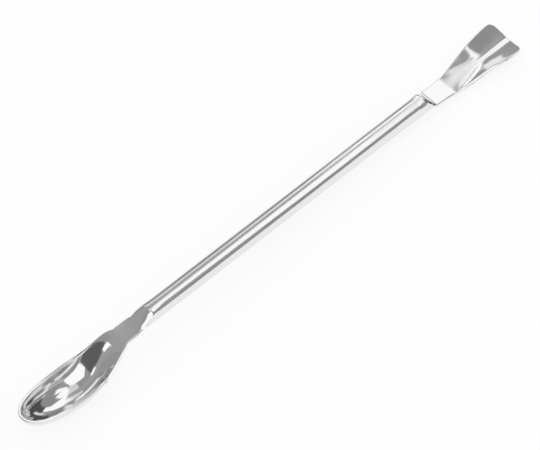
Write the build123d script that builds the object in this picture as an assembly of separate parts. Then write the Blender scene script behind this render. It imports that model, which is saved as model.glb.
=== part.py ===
from build123d import *
from math import acos, atan, atan2, copysign, cos, degrees, hypot, pi, sin, sqrt
import os

# Double-ended lab spatula, pressed from one strip of stainless sheet.
# A deep spoon and a flared shovel stand at the two ends of a half-round channel handle.
# While it is drawn, X runs along the handle from the spoon's tip and Y runs across it.
# Z = 0 is then the plane of the channel's two lower edges.
# At the end it is laid down as it comes to rest, with the origin under the middle of its length.

overall_length = 200.0
sheet = 1.1

# Spoon, whose rim lies lower than the neck behind it
bowl_width = 14.3
bowl_depth = 6.05
bowl_front_length = 20.9
bowl_back_length = 18.8
bowl_outline_fullness = 0.86
bowl_floor_fullness = 2.4
bowl_wall_fullness = 2.4
bowl_squareness = 2.2
rim_drop = 5.1
rim_level_length = 6.0
tip_lift = 1.5

# Flat necks, whose upper faces lie near the level of the channel's lower edges
spoon_neck_length = 4.5
spoon_neck_width = 6.8
spoon_neck_top = 0.75
shovel_neck_length = 3.2
shovel_neck_width = 7.0
shovel_neck_top = -0.2

# Channel handle
handle_width = 6.25
handle_height = 4.05
handle_squareness = 2.5
spoon_fold_length = 7.2
shovel_fold_length = 3.6
fold_bend_radius = 2.0
spoon_round_length = 11.7
shovel_round_length = 6.3

# Shovel
shovel_width = 13.6
shovel_rise = 2.6
shovel_valley_softness = 0.28
shovel_hinge_softness = 0.22
flare_length = 30.0
full_wall_length = 10.0
wall_rise_length = 15.6
shovel_end_bow = 1.0
shovel_corner_radius = 1.7

# How finely the pressed skin is drawn
points_across = 11
section_spacing = 3.0
bowl_spacing = 2.3
fold_spacing = 0.9
tiny = 0.0001

# Places along the handle that follow from the lengths
bowl_end_at = bowl_front_length + bowl_back_length
spoon_fold_start = bowl_end_at + spoon_neck_length
spoon_fold_end = spoon_fold_start + spoon_fold_length
flare_start = overall_length - flare_length
shovel_fold_end = flare_start - shovel_neck_length
shovel_fold_start = shovel_fold_end - shovel_fold_length
handle_from = spoon_fold_start + spoon_round_length
handle_to = shovel_fold_end - shovel_round_length
wall_rise_end = overall_length - full_wall_length
wall_rise_start = wall_rise_end - wall_rise_length
rim_low = spoon_neck_top - rim_drop


def ease(value, start, end):
    """Goes smoothly from 0 at start to 1 at end."""
    share = min(max((value - start) / (end - start), 0.0), 1.0)
    return share * share * (3.0 - 2.0 * share)


def bowl_share(x, fullness):
    """Falls from 1 at the bowl's widest place to 0 where the bowl ends."""
    share = min(max((x - bowl_front_length) / bowl_back_length, 0.0), 1.0)
    return (1.0 - share * share) ** fullness


def blend(share, first, second):
    return first + share * (second - first)


def neck_top(x):
    return blend(ease(x, shovel_fold_start, wall_rise_start), spoon_neck_top, shovel_neck_top)


def dished_arc(half_width, rise, opening, squareness, side):
    """Gives a point of an arc over a chord: side is -1 to 1 and opening is the arc's half angle."""
    angle = side * opening
    power = 2.0 / squareness
    across = copysign(abs(sin(angle) / sin(opening)) ** power, side)
    height = max((cos(angle) - cos(opening)) / (1.0 - cos(opening)), 0.0) ** power
    return half_width * across, rise * height


def bowl_top(x, side):
    """Gives Y and Z of the inside of the spoon."""
    outer = blend(bowl_share(x, bowl_outline_fullness), spoon_neck_width, bowl_width) / 2
    depth = bowl_depth * bowl_share(x, bowl_floor_fullness)
    opening = max(pi / 2 * bowl_share(x, bowl_wall_fullness), tiny)
    steepness = atan2(depth * (1.0 + cos(opening)), outer * cos(opening))
    rim = blend(ease(x, bowl_front_length + rim_level_length, bowl_end_at), rim_low, spoon_neck_top)
    squareness = blend(bowl_share(x, bowl_wall_fullness), 2.0, bowl_squareness)
    y, hang = dished_arc(outer - sheet * sin(steepness), depth, opening, squareness, side)
    return y, rim - hang


def bent_strip(half_width, height, side):
    """Gives a point of a flat strip whose two edges are bent down by the height."""
    turn = acos(max(1.0 - height / fold_bend_radius, 0.0))
    flat = half_width - fold_bend_radius * sin(turn)
    bend = fold_bend_radius * turn
    run = abs(side) * (flat + bend + max(height - fold_bend_radius, 0.0))
    bent = min(max(run - flat, 0.0), bend) / fold_bend_radius
    across = min(run, flat) + fold_bend_radius * sin(bent)
    drop = fold_bend_radius * (1.0 - cos(bent)) + max(run - flat - bend, 0.0)
    return copysign(across, side), height - drop


def channel_top(x, side):
    """Gives Y and Z of the outside of the channel and of the flat necks that it folds out of.
    Each neck's edges bend down first, and the bent strip then rounds off into the channel."""
    fold = ease(x, spoon_fold_start, spoon_fold_end) - ease(x, shovel_fold_start, shovel_fold_end)
    neck_width = spoon_neck_width if x < spoon_fold_end else shovel_neck_width
    half_width = blend(fold, neck_width, handle_width) / 2
    height = max(handle_height * fold, tiny)
    strip_y, strip_z = bent_strip(half_width, height, side)
    arch_y, arch_z = dished_arc(half_width, height, pi / 2, handle_squareness, side)
    rounded = ease(x, spoon_fold_start, handle_from) - ease(x, handle_to, shovel_fold_end)
    foot = neck_top(x) * (1.0 - fold)
    return blend(rounded, strip_y, arch_y), foot + blend(rounded, strip_z, arch_z)


def shovel_top(x, side):
    """Gives Y and Z of the inside of the shovel. Its walls turn up along two lines, which close in
    from the root's edges to the middle, so the floor between them narrows to a rounded valley."""
    half_width = blend(ease(x, flare_start, overall_length), shovel_neck_width, shovel_width) / 2
    turned_up = ease(x, wall_rise_start, wall_rise_end)
    soft = shovel_valley_softness

    def out(share):
        return (sqrt(share * share + soft * soft) - soft) / (sqrt(1.0 + soft * soft) - soft)

    def hinge(share):
        past = out(share) - (1.0 - turned_up)
        return past + hypot(past, shovel_hinge_softness)

    wall = (hinge(side) - hinge(0.0)) / (hinge(1.0) - hinge(0.0))
    return half_width * side, neck_top(x) + shovel_rise * turned_up * wall


def upper_face(x, side):
    """Gives Y and Z of the sheet's upper face at a distance from the spoon's tip, for side from -1 to 1."""
    if x < bowl_end_at:
        return bowl_top(x, side)
    if x < shovel_fold_end:
        return channel_top(x, side)
    return shovel_top(x, side)


def lower_face(x, side):
    """Gives Y and Z of the lower face, one sheet thickness from the upper face measured square to it."""
    y, z = upper_face(x, side)
    y_low, z_low = upper_face(x, max(side - tiny, -1.0))
    y_high, z_high = upper_face(x, min(side + tiny, 1.0))
    run = hypot(y_high - y_low, z_high - z_low)
    normal_y = -(z_high - z_low) / run
    normal_z = (y_high - y_low) / run
    y_back, z_back = upper_face(x - tiny, side)
    y_ahead, z_ahead = upper_face(x + tiny, side)
    slope = ((y_ahead - y_back) * normal_y + (z_ahead - z_back) * normal_z) / (2 * tiny)
    depth = sheet * sqrt(1.0 + slope * slope)
    return y - normal_y * depth, z - normal_z * depth


def face_curve(face, x):
    points = []
    for index in range(points_across):
        y, z = face(x, 2.0 * index / (points_across - 1) - 1.0)
        points.append(Vector(x, y, z))
    return Spline(*points)


def sheet_section(x):
    """Draws the cut sheet where a plane square to the handle crosses it."""
    upper = face_curve(upper_face, x)
    lower = face_curve(lower_face, x)
    left_edge = Line(upper @ 0, lower @ 0)
    right_edge = Line(upper @ 1, lower @ 1)
    return make_face(Wire([upper, right_edge, lower, left_edge]))


def spaced(start, end, spacing):
    """Gives evenly spaced stations from start up to, but without, end."""
    count = max(round((end - start) / spacing), 2)
    return [start + (end - start) * step / count for step in range(count)]


def pressed_run(stations):
    """Skins the sheet through its sections at the stations."""
    return loft([sheet_section(x) for x in stations])


def bowl_back_and_neck():
    stations = spaced(bowl_front_length, bowl_end_at, bowl_spacing)
    stations += spaced(bowl_end_at, spoon_fold_start, bowl_spacing)
    return pressed_run(stations + [spoon_fold_start])


def pressed_fold(start, end):
    """Skins a tight fold with straight strips between close sections, so that it can't bulge."""
    stations = spaced(start, end, fold_spacing) + [end]
    return loft([sheet_section(x) for x in stations], ruled=True)


def shovel_and_neck():
    past_end = overall_length + sheet
    stations = spaced(shovel_fold_end, wall_rise_start, section_spacing)
    stations += spaced(wall_rise_start, wall_rise_end, section_spacing)
    stations += spaced(wall_rise_end, past_end, section_spacing)
    return pressed_run(stations + [past_end])


def quarter_bowl(face, reach):
    """Turns a face's widest section a quarter about a line above the rim, and draws it out to the tip."""
    axis_height = rim_low + tip_lift
    curve = face_curve(face, bowl_front_length)
    left_top = Vector(bowl_front_length, (curve @ 0).Y, axis_height)
    right_top = Vector(bowl_front_length, (curve @ 1).Y, axis_height)
    walls = Polyline(curve @ 1, right_top, left_top, curve @ 0)
    section = make_face([curve, *walls.edges()]).moved(Location((-bowl_front_length, 0, -axis_height)))
    bottom = face(bowl_front_length, 0.0)[1]
    drawn = scale(revolve(section, Axis.Y, 90), by=(reach / (axis_height - bottom), 1, 1))
    return drawn.moved(Location((bowl_front_length, 0, axis_height)))


def above_front_rim():
    """Is the space above the rim, which curves up from the widest place to the tip."""
    start = (bowl_front_length, rim_low)
    tip = (0, rim_low + tip_lift)
    top = rim_low + 2 * tip_lift
    rim = TangentArc(start, tip, tangent=(-1, 0))
    outline = Polyline(tip, (-sheet, tip[1]), (-sheet, top), (bowl_front_length, top), start)
    return extrude(Plane.XZ * make_face([rim, *outline.edges()]), bowl_width, both=True)


def spoon_front():
    outside = quarter_bowl(lower_face, bowl_front_length)
    inside = quarter_bowl(upper_face, bowl_front_length - sheet)
    return outside - inside - above_front_rim()


def channel_handle():
    return extrude(sheet_section(handle_from), handle_to - handle_from, dir=(1, 0, 0))


def shovel_end_waste():
    """Is what the shears take away past the shovel's bowed end and its two rounded corners."""
    corner = overall_length - shovel_end_bow
    half = shovel_width / 2 + tiny
    bow = ThreePointArc((corner, -half), (overall_length, 0), (corner, half))
    root = Polyline(bow @ 1, (flare_start, half), (flare_start, -half), bow @ 0)
    blank = make_face([bow, *root.edges()])
    blank = fillet(blank.vertices().group_by(Axis.X)[-1], shovel_corner_radius)
    length = flare_length + 2 * sheet
    around = Pos(flare_start + length / 2, 0) * Rectangle(length, 2 * shovel_width)
    return extrude(around - blank, shovel_width, both=True)


def rest_angle():
    """Finds how far the shovel's end must sink for it and the bowl to touch a table together."""
    end_height = lower_face(overall_length, 0.0)[1]
    steepest = 0.0
    for step in range(200):
        x = bowl_front_length + bowl_back_length * step / 200
        steepest = max(steepest, (end_height - lower_face(x, 0.0)[1]) / (overall_length - x))
    return degrees(atan(steepest))


spoon = spoon_front() + bowl_back_and_neck() + pressed_fold(spoon_fold_start, handle_from)
shovel = pressed_fold(handle_to, shovel_fold_end) + (shovel_and_neck() - shovel_end_waste())
spatula = spoon + channel_handle() + shovel
spatula = spatula.rotate(Axis.Y, rest_angle())
box = spatula.bounding_box()
spatula = spatula.moved(Location((-box.center().X, 0, -box.min.Z)))
os.makedirs("parts", exist_ok=True)
export_step(spatula, "parts/spatula_sheet.step")
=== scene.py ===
import bisect
import math

import bmesh
import bpy
from mathutils import Matrix, Vector


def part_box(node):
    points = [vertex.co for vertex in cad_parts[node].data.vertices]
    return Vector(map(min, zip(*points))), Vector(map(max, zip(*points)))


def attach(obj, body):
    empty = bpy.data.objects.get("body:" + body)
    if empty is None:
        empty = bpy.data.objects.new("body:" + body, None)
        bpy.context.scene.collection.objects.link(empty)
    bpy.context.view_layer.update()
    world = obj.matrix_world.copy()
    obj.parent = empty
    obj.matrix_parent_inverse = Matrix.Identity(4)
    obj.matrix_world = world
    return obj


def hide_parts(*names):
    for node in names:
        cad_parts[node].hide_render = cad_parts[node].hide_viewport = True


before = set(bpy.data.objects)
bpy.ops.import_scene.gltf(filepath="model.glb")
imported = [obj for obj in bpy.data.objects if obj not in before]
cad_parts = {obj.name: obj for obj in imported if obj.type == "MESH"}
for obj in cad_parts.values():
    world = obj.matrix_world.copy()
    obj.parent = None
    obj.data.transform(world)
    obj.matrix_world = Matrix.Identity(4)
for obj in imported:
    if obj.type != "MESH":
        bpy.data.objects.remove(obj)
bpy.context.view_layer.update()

# The spatula itself: one strip of stainless sheet, 1.1 mm thick, blanked out, pressed and polished.
# A deep spoon and a flared shovel stand at its two ends, and the handle between them is folded
# into a channel that is open below. The edges are tumbled round.

# Millimetres, until the finished shell is scaled to metres
MM = 0.001
overall_length = 200.0
sheet = 1.1
edge_radius = 0.32

# Spoon
bowl_width = 14.3
bowl_depth = 6.05
bowl_front_length = 20.9
bowl_back_length = 18.8
bowl_outline_fullness = 0.86
bowl_floor_fullness = 2.4
bowl_wall_fullness = 2.4
bowl_squareness = 2.2
rim_drop = 5.1
rim_level_length = 6.0
tip_lift = 1.5

# Flat necks
spoon_neck_length = 4.5
spoon_neck_width = 6.8
spoon_neck_top = 0.75
shovel_neck_length = 3.2
shovel_neck_width = 7.0
shovel_neck_top = -0.2

# Channel handle and the folds at its two ends
handle_width = 6.25
handle_height = 4.05
handle_squareness = 2.5
spoon_fold_length = 7.2
shovel_fold_length = 3.6
fold_bend_radius = 2.0
spoon_round_length = 11.7
shovel_round_length = 6.3

# Shovel
shovel_width = 13.6
shovel_rise = 2.6
shovel_valley_softness = 0.28
shovel_hinge_softness = 0.22
flare_length = 30.0
full_wall_length = 10.0
wall_rise_length = 15.6
shovel_end_bow = 1.0
shovel_corner_radius = 1.7
drawn_back_length = 12.0

# Places along the handle that follow from the lengths
bowl_end_at = bowl_front_length + bowl_back_length
spoon_fold_start = bowl_end_at + spoon_neck_length
spoon_fold_end = spoon_fold_start + spoon_fold_length
flare_start = overall_length - flare_length
shovel_fold_end = flare_start - shovel_neck_length
shovel_fold_start = shovel_fold_end - shovel_fold_length
handle_from = spoon_fold_start + spoon_round_length
handle_to = shovel_fold_end - shovel_round_length
wall_rise_end = overall_length - full_wall_length
wall_rise_start = wall_rise_end - wall_rise_length
rim_low = spoon_neck_top - rim_drop
rim_axis = rim_low + tip_lift
tiny = 0.0001


def ease(value, start, end):
    """Goes smoothly from 0 at start to 1 at end."""
    share = min(max((value - start) / (end - start), 0.0), 1.0)
    return share * share * (3.0 - 2.0 * share)


def mix(share, first, second):
    return first + share * (second - first)


def bowl_share(x, fullness):
    """Falls from 1 at the bowl's widest place to 0 where the bowl ends."""
    share = min(max((x - bowl_front_length) / bowl_back_length, 0.0), 1.0)
    return (1.0 - share * share) ** fullness


def neck_top(x):
    return mix(ease(x, shovel_fold_start, wall_rise_start), spoon_neck_top, shovel_neck_top)


def dished_arc(half_width, rise, opening, squareness, side):
    """Gives a point of an arc over a chord: side is -1 to 1 and opening is the arc's half angle."""
    angle = side * opening
    power = 2.0 / squareness
    across = math.copysign(abs(math.sin(angle) / math.sin(opening)) ** power, side)
    height = max((math.cos(angle) - math.cos(opening)) / (1.0 - math.cos(opening)), 0.0) ** power
    return half_width * across, rise * height


def bowl_top(x, side):
    """Gives Y and Z of the inside of the spoon."""
    outer = mix(bowl_share(x, bowl_outline_fullness), spoon_neck_width, bowl_width) / 2
    depth = bowl_depth * bowl_share(x, bowl_floor_fullness)
    opening = max(math.pi / 2 * bowl_share(x, bowl_wall_fullness), tiny)
    steepness = math.atan2(depth * (1.0 + math.cos(opening)), outer * math.cos(opening))
    rim = mix(ease(x, bowl_front_length + rim_level_length, bowl_end_at), rim_low, spoon_neck_top)
    squareness = mix(bowl_share(x, bowl_wall_fullness), 2.0, bowl_squareness)
    y, hang = dished_arc(outer - sheet * math.sin(steepness), depth, opening, squareness, side)
    return y, rim - hang


def bent_strip(half_width, height, side):
    """Gives a point of a flat strip whose two edges are bent down by the height."""
    turn = math.acos(max(1.0 - height / fold_bend_radius, 0.0))
    flat = half_width - fold_bend_radius * math.sin(turn)
    bend = fold_bend_radius * turn
    run = abs(side) * (flat + bend + max(height - fold_bend_radius, 0.0))
    bent = min(max(run - flat, 0.0), bend) / fold_bend_radius
    across = min(run, flat) + fold_bend_radius * math.sin(bent)
    drop = fold_bend_radius * (1.0 - math.cos(bent)) + max(run - flat - bend, 0.0)
    return math.copysign(across, side), height - drop


def channel_top(x, side):
    """Gives Y and Z of the outside of the channel and of the flat necks that it folds out of."""
    fold = ease(x, spoon_fold_start, spoon_fold_end) - ease(x, shovel_fold_start, shovel_fold_end)
    neck_width = spoon_neck_width if x < spoon_fold_end else shovel_neck_width
    half_width = mix(fold, neck_width, handle_width) / 2
    height = max(handle_height * fold, tiny)
    strip_y, strip_z = bent_strip(half_width, height, side)
    arch_y, arch_z = dished_arc(half_width, height, math.pi / 2, handle_squareness, side)
    rounded = ease(x, spoon_fold_start, handle_from) - ease(x, handle_to, shovel_fold_end)
    foot = neck_top(x) * (1.0 - fold)
    return mix(rounded, strip_y, arch_y), foot + mix(rounded, strip_z, arch_z)


def shovel_top(x, side):
    """Gives Y and Z of the inside of the shovel: walls that turn up along two lines, which close in
    from the root's edges to the middle, so that the floor between them narrows to a valley."""
    half_width = mix(ease(x, flare_start, overall_length), shovel_neck_width, shovel_width) / 2
    turned_up = ease(x, wall_rise_start, wall_rise_end)
    soft = shovel_valley_softness

    def out(share):
        return (math.sqrt(share * share + soft * soft) - soft) / (math.sqrt(1.0 + soft * soft) - soft)

    def hinge(share):
        past = out(share) - (1.0 - turned_up)
        return past + math.hypot(past, shovel_hinge_softness)

    wall = (hinge(side) - hinge(0.0)) / (hinge(1.0) - hinge(0.0))
    return half_width * side, neck_top(x) + shovel_rise * turned_up * wall


def upper_face(x, side):
    """Gives Y and Z of the sheet's upper face at a distance from the spoon's tip."""
    if x < bowl_end_at:
        return bowl_top(x, side)
    if x < shovel_fold_end:
        return channel_top(x, side)
    return shovel_top(x, side)


def lower_face(x, side):
    """Gives Y and Z of the lower face, one sheet thickness from the upper face measured square to it."""
    y, z = upper_face(x, side)
    y_low, z_low = upper_face(x, max(side - tiny, -1.0))
    y_high, z_high = upper_face(x, min(side + tiny, 1.0))
    run = math.hypot(y_high - y_low, z_high - z_low)
    normal_y = -(z_high - z_low) / run
    normal_z = (y_high - y_low) / run
    y_back, z_back = upper_face(x - tiny, side)
    y_ahead, z_ahead = upper_face(x + tiny, side)
    slope = ((y_ahead - y_back) * normal_y + (z_ahead - z_back) * normal_z) / (2 * tiny)
    depth = sheet * math.sqrt(1.0 + slope * slope)
    return y - normal_y * depth, z - normal_z * depth


def rest_angle():
    """Finds how far the shovel's end sinks when it and the bowl touch the table together."""
    end_height = lower_face(overall_length, 0.0)[1]
    steepest = 0.0
    for step in range(200):
        x = bowl_front_length + bowl_back_length * step / 200
        steepest = max(steepest, (end_height - lower_face(x, 0.0)[1]) / (overall_length - x))
    return math.atan(steepest)


# How finely the shell is drawn
columns = 72
edge_steps = 5
quarter_rays = 56
spoon_rows = 150
handle_rows = 30
shovel_rows = 140
profile_steps = 300
rim_steps = 20
ray_steps = 400
share_steps = 600
edge_halvings = 24
rim_halvings = 30
merge_distance = 0.004


def body_row(face, x):
    """Samples a face across the sheet at one station behind the bowl's widest place."""
    return lambda side: Vector((x, *face(x, side)))


def side_short_of_edge(row, end_side):
    """Finds the side at which a row is still one edge radius short of its end."""
    end = row(end_side)
    near, far = 0.0, 1.0
    for _ in range(edge_halvings):
        middle = (near + far) / 2
        if (row(end_side * middle) - end).length > edge_radius:
            near = middle
        else:
            far = middle
    return near


def round_corner(start, corner, end, first, last):
    """Gives the points of an arc that leaves start towards corner and arrives at end."""
    points = []
    for step in range(first, last + 1):
        turn = math.pi / 2 * step / edge_steps
        from_start, to_end = 1 - math.sin(turn), 1 - math.cos(turn)
        points.append(corner + (start - corner) * from_start + (end - corner) * to_end)
    return points


def round_edge(upper_stop, upper_end, lower_end, lower_stop):
    """Rounds the sheet's cut edge, from the upper face's last point to the lower face's."""
    share = edge_radius / sheet
    return (round_corner(upper_stop, upper_end, upper_end.lerp(lower_end, share), 1, edge_steps)
            + round_corner(lower_end.lerp(upper_end, share), lower_end, lower_stop, 0, edge_steps - 1))


def section_ring(x):
    """Gives one closed turn of points round the cut sheet: its upper face, right edge, lower face
    and left edge."""
    upper, lower = body_row(upper_face, x), body_row(lower_face, x)
    up, low = side_short_of_edge(upper, 1.0), side_short_of_edge(lower, 1.0)
    turn = [upper(up * (2.0 * step / columns - 1.0)) for step in range(columns + 1)]
    turn += round_edge(upper(up), upper(1.0), lower(1.0), lower(low))
    turn += [lower(low * (1.0 - 2.0 * step / columns)) for step in range(columns + 1)]
    turn += reversed(round_edge(upper(-up), upper(-1.0), lower(-1.0), lower(-low)))
    return turn


def front_profile(face, reach, heading):
    """Samples a bowl face from its deepest place to the rim, in an upright plane at a heading from
    the side. The face is the widest section turned about a line above the rim and drawn out to the tip."""
    section = [face(bowl_front_length, step / profile_steps) for step in range(profile_steps + 1)]
    section = [(abs(y), rim_axis - z) for y, z in section]
    edge, dip_left = section[-1]
    section += [(edge, dip_left * (1.0 - step / rim_steps)) for step in range(1, rim_steps + 1)]
    slants = [math.atan2(y, out) for y, out in section]
    radii = [math.hypot(y, out) for y, out in section]
    span = section[0][1]

    def place(dip):
        ahead = math.cos(dip) * math.sin(heading)
        beside = math.cos(dip) * math.cos(heading)
        out = math.hypot(ahead * span / reach, math.sin(dip))
        slant = math.atan2(beside, out)
        index = min(bisect.bisect_left(slants, slant), len(slants) - 1)
        before = max(index - 1, 0)
        gap = slants[index] - slants[before]
        share = (slant - slants[before]) / gap if gap > 0 else 0.0
        radius = mix(share, radii[before], radii[index]) / math.hypot(out, beside)
        height = rim_axis - radius * math.sin(dip)
        return Vector((bowl_front_length - radius * ahead, radius * beside, height))

    def over_rim(point):
        ahead = (bowl_front_length - point.x) / bowl_front_length
        return point.z - (rim_axis - tip_lift * (1.0 - ahead * ahead))

    below, above = math.pi / 2, 0.0
    for _ in range(rim_halvings):
        middle = (below + above) / 2
        if over_rim(place(middle)) < 0:
            below = middle
        else:
            above = middle
    return [place(mix(step / ray_steps, math.pi / 2, below)) for step in range(ray_steps + 1)]


def along(points, wanted):
    """Picks the points at the wanted distances along a line of points."""
    run = [0.0]
    for first, second in zip(points, points[1:]):
        run.append(run[-1] + (second - first).length)
    picked = []
    for distance in wanted(run[-1]):
        index = min(max(bisect.bisect_left(run, distance), 1), len(run) - 1)
        share = (distance - run[index - 1]) / (run[index] - run[index - 1])
        picked.append(points[index - 1].lerp(points[index], share))
    return picked


def half_shares(face):
    """Gives how far along the widest section each column of points stands, as shares of its length."""
    row = body_row(face, bowl_front_length)
    stop = side_short_of_edge(row, 1.0)
    run = [0.0]
    for step in range(share_steps):
        ahead, here = row(stop * (step + 1) / share_steps), row(stop * step / share_steps)
        run.append(run[-1] + (ahead - here).length)
    half = columns // 2
    return [run[share_steps * step // half] / run[-1] for step in range(half + 1)]


def front_ray(heading, upper_shares, lower_shares):
    """Gives half a turn round the sheet in one upright plane of the spoon's front: from the bottom
    over the rim and back below."""
    upper = front_profile(upper_face, bowl_front_length - sheet, heading)
    lower = front_profile(lower_face, bowl_front_length, heading)
    inside = along(upper, lambda length: [share * (length - edge_radius) for share in upper_shares])
    outside = along(lower, lambda length: [share * (length - edge_radius) for share in lower_shares])
    return inside + round_edge(inside[-1], upper[-1], lower[-1], outside[-1]) + outside[::-1]


def sheared(point):
    """Draws a point of the shovel's last stretch back so that its end follows the bowed cut and its
    rounded corners, and keeps the point inside the blank's width."""
    start = overall_length - drawn_back_length
    if point.x <= start:
        return point
    half = shovel_width / 2
    past = min(max(abs(point.y) - (half - shovel_corner_radius), 0.0), shovel_corner_radius)
    corner = shovel_corner_radius - math.sqrt(shovel_corner_radius ** 2 - past * past)
    line = overall_length - shovel_end_bow * (point.y / half) ** 2 - corner
    share = (point.x - start) / (overall_length - start)
    beside = math.copysign(min(abs(point.y), half), point.y)
    return Vector((mix(share, start, line), beside, point.z))


def thinned(turn, share):
    """Moves every point of a turn towards its partner on the other face, by a share of the way to
    the middle."""
    count = len(turn)
    last = 2 * columns + 1 + 2 * edge_steps
    partners = [turn[(last - index) % count] for index in range(count)]
    return [point.lerp((point + partner) / 2, share) for point, partner in zip(turn, partners)]


def laid_grid(shell, lines):
    """Makes a grid and moves its points onto the lines: one line of points for each row of the grid."""
    wide = len(lines[0])
    made = bmesh.ops.create_grid(shell, x_segments=wide - 1, y_segments=len(lines) - 1, size=1.0)["verts"]
    for index, vert in enumerate(made):
        vert.co = lines[index // wide][index % wide]


upper_shares = half_shares(upper_face)
lower_shares = half_shares(lower_face)
rays = []
for step in range(-quarter_rays, quarter_rays + 1):
    heading = math.pi / 2 * (1 - abs(step) / quarter_rays)
    ray = front_ray(heading, upper_shares, lower_shares)
    rays.append([Vector((point.x, math.copysign(point.y, step), point.z)) for point in ray])

places = [mix(step / spoon_rows, bowl_front_length, handle_from) for step in range(spoon_rows)]
places += [mix(step / handle_rows, handle_from, handle_to) for step in range(handle_rows)]
places += [mix(step / shovel_rows, handle_to, overall_length) for step in range(shovel_rows)]
turns = [section_ring(x) for x in places]
final = section_ring(overall_length)
middle = columns // 2
rays[-1] = turns[0][middle:3 * middle + 2 * edge_steps + 2]
rays[0] = turns[0][middle::-1] + turns[0][:3 * middle + 2 * edge_steps:-1]
turns = [[sheared(point) for point in turn] for turn in turns]
final = [sheared(point) for point in final]
while (final[middle] - turns[-1][middle]).length < edge_radius:
    turns.pop()
for step in range(edge_steps + 1):
    turn = math.pi / 2 * step / edge_steps
    back = Vector((edge_radius * (1 - math.sin(turn)), 0, 0))
    inward = edge_radius * (1 - math.cos(turn)) / (sheet / 2)
    turns.append([point - back for point in thinned(final, inward)])
turns.append(thinned(final, 1.0))

shell = bmesh.new()
laid_grid(shell, rays)
laid_grid(shell, [turn + turn[:1] for turn in turns])
bmesh.ops.remove_doubles(shell, verts=shell.verts, dist=merge_distance)
bmesh.ops.recalc_face_normals(shell, faces=shell.faces)
angle = rest_angle()
bmesh.ops.rotate(shell, verts=shell.verts, cent=(0, 0, 0), matrix=Matrix.Rotation(angle, 3, "Y"))
cad_low, cad_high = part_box("spatula_sheet")
left, right = min(vert.co.x for vert in shell.verts), max(vert.co.x for vert in shell.verts)
bottom = min(vert.co.z for vert in shell.verts)
laid_at = Vector(((cad_low.x + cad_high.x) / 2 / MM - (left + right) / 2, 0.0, cad_low.z / MM - bottom))
bmesh.ops.translate(shell, verts=shell.verts, vec=laid_at)
bmesh.ops.scale(shell, verts=shell.verts, vec=(MM, MM, MM))
for face in shell.faces:
    face.smooth = True
mesh = bpy.data.meshes.new("polished_spatula")
shell.to_mesh(mesh)
shell.free()
spatula = bpy.data.objects.new("polished_spatula", mesh)
bpy.context.collection.objects.link(spatula)

# Polished stainless steel, with fine lines along the handle and a gloss that use has made uneven
steel = bpy.data.materials.new("polished_stainless")
steel.use_nodes = True
nodes, links = steel.node_tree.nodes, steel.node_tree.links
shader = nodes["Principled BSDF"]
shader.inputs["Metallic"].default_value = 1.0
place = nodes.new("ShaderNodeTexCoord")

lengthwise = nodes.new("ShaderNodeMapping")
lengthwise.inputs["Scale"].default_value = (60.0, 2600.0, 2600.0)
links.new(place.outputs["Object"], lengthwise.inputs["Vector"])
polish_lines = nodes.new("ShaderNodeTexNoise")
polish_lines.inputs["Scale"].default_value = 1.0
polish_lines.inputs["Detail"].default_value = 3.0
links.new(lengthwise.outputs["Vector"], polish_lines.inputs["Vector"])

handled = nodes.new("ShaderNodeTexNoise")
handled.inputs["Scale"].default_value = 140.0
handled.inputs["Detail"].default_value = 4.0
links.new(place.outputs["Object"], handled.inputs["Vector"])

tint = nodes.new("ShaderNodeMix")
tint.data_type = "RGBA"
tint.inputs["A"].default_value = (0.80, 0.80, 0.81, 1.0)
tint.inputs["B"].default_value = (0.85, 0.85, 0.85, 1.0)
links.new(handled.outputs["Fac"], tint.inputs["Factor"])
links.new(tint.outputs["Result"], shader.inputs["Base Color"])

gloss = nodes.new("ShaderNodeMapRange")
gloss.inputs["From Min"].default_value = 0.3
gloss.inputs["From Max"].default_value = 0.7
gloss.inputs["To Min"].default_value = 0.07
gloss.inputs["To Max"].default_value = 0.13
links.new(handled.outputs["Fac"], gloss.inputs["Value"])
links.new(gloss.outputs["Result"], shader.inputs["Roughness"])

lines_relief = nodes.new("ShaderNodeBump")
lines_relief.inputs["Strength"].default_value = 0.12
lines_relief.inputs["Distance"].default_value = 0.00002
links.new(polish_lines.outputs["Fac"], lines_relief.inputs["Height"])
links.new(lines_relief.outputs["Normal"], shader.inputs["Normal"])
mesh.materials.append(steel)
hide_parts("spatula_sheet")
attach(spatula, "root")

# The pale floor that the spatula lies on: a wide sheet of white paper that shows white
# to the camera and in the steel, and still keeps the spatula's soft shadow.
floor_mesh = bpy.data.meshes.new("floor")
floor_shape = bmesh.new()
bmesh.ops.create_grid(floor_shape, x_segments=1, y_segments=1, size=6.0)
floor_shape.to_mesh(floor_mesh)
floor_shape.free()
floor = bpy.data.objects.new("floor", floor_mesh)
bpy.context.collection.objects.link(floor)
paper = bpy.data.materials.new("white_paper")
paper.use_nodes = True
paper_nodes, paper_links = paper.node_tree.nodes, paper.node_tree.links
matt = paper_nodes["Principled BSDF"]
matt.inputs["Base Color"].default_value = (0.96, 0.96, 0.96, 1.0)
matt.inputs["Roughness"].default_value = 1.0
matt.inputs["Specular IOR Level"].default_value = 0.0
sight = paper_nodes.new("ShaderNodeLightPath")
seen = paper_nodes.new("ShaderNodeMath")
seen.operation = "MAXIMUM"
paper_links.new(sight.outputs["Is Camera Ray"], seen.inputs[0])
paper_links.new(sight.outputs["Is Glossy Ray"], seen.inputs[1])
seen_through = paper_nodes.new("ShaderNodeMath")
seen_through.operation = "MAXIMUM"
paper_links.new(seen.outputs["Value"], seen_through.inputs[0])
paper_links.new(sight.outputs["Is Transmission Ray"], seen_through.inputs[1])
lift = paper_nodes.new("ShaderNodeMath")
lift.operation = "MULTIPLY"
lift.inputs[1].default_value = 0.8
paper_links.new(seen_through.outputs["Value"], lift.inputs[0])
white = paper_nodes.new("ShaderNodeEmission")
white.inputs["Color"].default_value = (1.0, 1.0, 1.0, 1.0)
white.inputs["Strength"].default_value = 1.0
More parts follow.
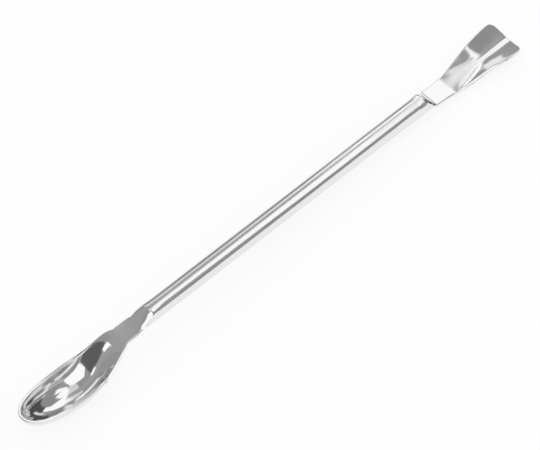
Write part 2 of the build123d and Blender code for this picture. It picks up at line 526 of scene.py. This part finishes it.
blended = paper_nodes.new("ShaderNodeMixShader")
paper_links.new(lift.outputs["Value"], blended.inputs[0])
paper_links.new(matt.outputs["BSDF"], blended.inputs[1])
paper_links.new(white.outputs["Emission"], blended.inputs[2])
paper_links.new(blended.outputs["Shader"], paper_nodes["Material Output"].inputs["Surface"])
floor_mesh.materials.append(paper)

# The studio: an even white light from all round, and what the polished steel mirrors of the room:
# grey walls, white soft boxes, and dark cards that draw the dark lines in it. The cards' places
# were first fitted to what the photo's steel mirrors, and then rounded and changed.
world = bpy.data.worlds.new("studio")
bpy.context.scene.world = world
world.use_nodes = True
world.node_tree.nodes["Background"].inputs["Color"].default_value = (1, 1, 1, 1)
world.node_tree.nodes["Background"].inputs["Strength"].default_value = 1.0


def mirrored_only(shape, name, glow):
    """Makes a piece of the studio that lights nothing and that only the steel mirrors."""
    piece_mesh = bpy.data.meshes.new(name)
    shape.to_mesh(piece_mesh)
    shape.free()
    piece = bpy.data.objects.new(name, piece_mesh)
    bpy.context.collection.objects.link(piece)
    cloth = bpy.data.materials.new(name)
    cloth.use_nodes = True
    cloth_nodes = cloth.node_tree.nodes
    cloth_nodes.remove(cloth_nodes["Principled BSDF"])
    shine = cloth_nodes.new("ShaderNodeEmission")
    shine.inputs["Strength"].default_value = glow
    cloth.node_tree.links.new(shine.outputs["Emission"], cloth_nodes["Material Output"].inputs["Surface"])
    piece_mesh.materials.append(cloth)
    piece.visible_camera = False
    piece.visible_diffuse = False
    piece.visible_shadow = False


def hang_card(name, glow, bearing, lean, spin, away_from, wide, tall):
    """Hangs a card that faces the spatula: lean is its angle from overhead, and wide and tall
    are its half sizes, all in degrees, and away_from is its distance in metres."""
    turn = (Matrix.Rotation(math.radians(bearing), 4, "Z") @ Matrix.Rotation(math.radians(lean), 4, "Y")
            @ Matrix.Rotation(math.radians(spin), 4, "Z"))
    half_wide = away_from * math.tan(math.radians(wide))
    half_tall = away_from * math.tan(math.radians(tall))
    size = Matrix.Diagonal((half_wide, half_tall, 1.0, 1.0))
    hung = turn @ Matrix.Translation((0.0, 0.0, away_from)) @ size
    card = bmesh.new()
    bmesh.ops.create_grid(card, x_segments=1, y_segments=1, size=1.0, matrix=hung)
    mirrored_only(card, name, glow)


walls = bmesh.new()
bmesh.ops.create_icosphere(walls, subdivisions=4, radius=5.0)
mirrored_only(walls, "grey_walls", 0.34)

hang_card("near_soft_box", 1.15, -86.0, 47.5, 57.5, 1.9, 44.0, 33.5)
hang_card("end_soft_box", 1.15, -18.0, 47.5, 27.0, 2.7, 20.0, 51.0)
hang_card("far_soft_box", 1.25, 84.0, 92.0, -65.0, 2.25, 9.5, 55.0)
hang_card("end_white_card", 1.25, 38.0, 94.0, 2.0, 1.3, 13.0, 19.0)
hang_card("tip_strip_light", 1.3, 157.0, 55.5, -150.5, 0.7, 7.6, 3.3)
hang_card("end_rail", 0.9, 15.0, 64.5, 2.0, 1.2, 3.1, 14.0)
hang_card("overhead_cloth", 0.73, 36.0, 17.5, -46.0, 2.4, 13.0, 39.0)
hang_card("overhead_rail", 0.38, 121.0, 37.0, -126.0, 1.5, 48.0, 9.0)
hang_card("camera_cloth", 0.3, -37.0, 52.5, 36.5, 0.85, 8.4, 42.5)
hang_card("end_black_card", 0.08, -16.0, 64.5, -23.0, 2.25, 23.0, 46.0)
hang_card("tip_black_card", 0.12, -152.5, 62.0, 160.5, 1.6, 13.5, 51.0)
hang_card("near_grey_strip", 0.34, -62.0, 57.5, 78.5, 1.2, 5.0, 36.0)
hang_card("far_grey_card", 0.29, 77.0, 64.5, -75.0, 0.5, 16.0, 15.0)

# The camera, at the photograph's angle: 53 degrees above the handle's own level, from far away.
# It stands where a point on the handle falls on its place in the picture.
camera_data = bpy.data.cameras.new("camera")
camera = bpy.data.objects.new("camera", camera_data)
bpy.context.collection.objects.link(camera)
bpy.context.scene.camera = camera
turned = Matrix.Rotation(angle, 3, "Y")
lean_down = math.radians(53.0)
heading = math.radians(43.96)
right = Vector((math.cos(heading), -math.sin(heading), 0.0))
away = Vector((math.sin(heading), math.cos(heading), 0.0))
overhead = Vector((0.0, 0.0, 1.0))
look = away * math.cos(lean_down) - overhead * math.sin(lean_down)
up = away * math.sin(lean_down) + overhead * math.cos(lean_down)
pixels_per_mm = 3.3841
distance = 4000.0
handle_point = Vector((100.0, 0.0, 2.0))
point_across_px, point_down_px = 267.5738, 219.5399
picture_wide_px, picture_tall_px = 540.0, 450.0
shift_right = (picture_wide_px / 2 - point_across_px) / pixels_per_mm
shift_up = (point_down_px - picture_tall_px / 2) / pixels_per_mm
centre = handle_point + right * shift_right + up * shift_up
spot = centre - look * distance
frame_turn = Matrix((right, up, -look)).transposed()
camera.location = (turned @ spot + laid_at) * MM
camera.rotation_euler = (turned @ frame_turn).to_euler()
sensor_width = 36.0
camera_data.sensor_width = sensor_width
camera_data.lens = pixels_per_mm * distance * sensor_width / picture_wide_px
camera_data.clip_end = 20.0

bpy.context.scene.view_settings.view_transform = "Standard"
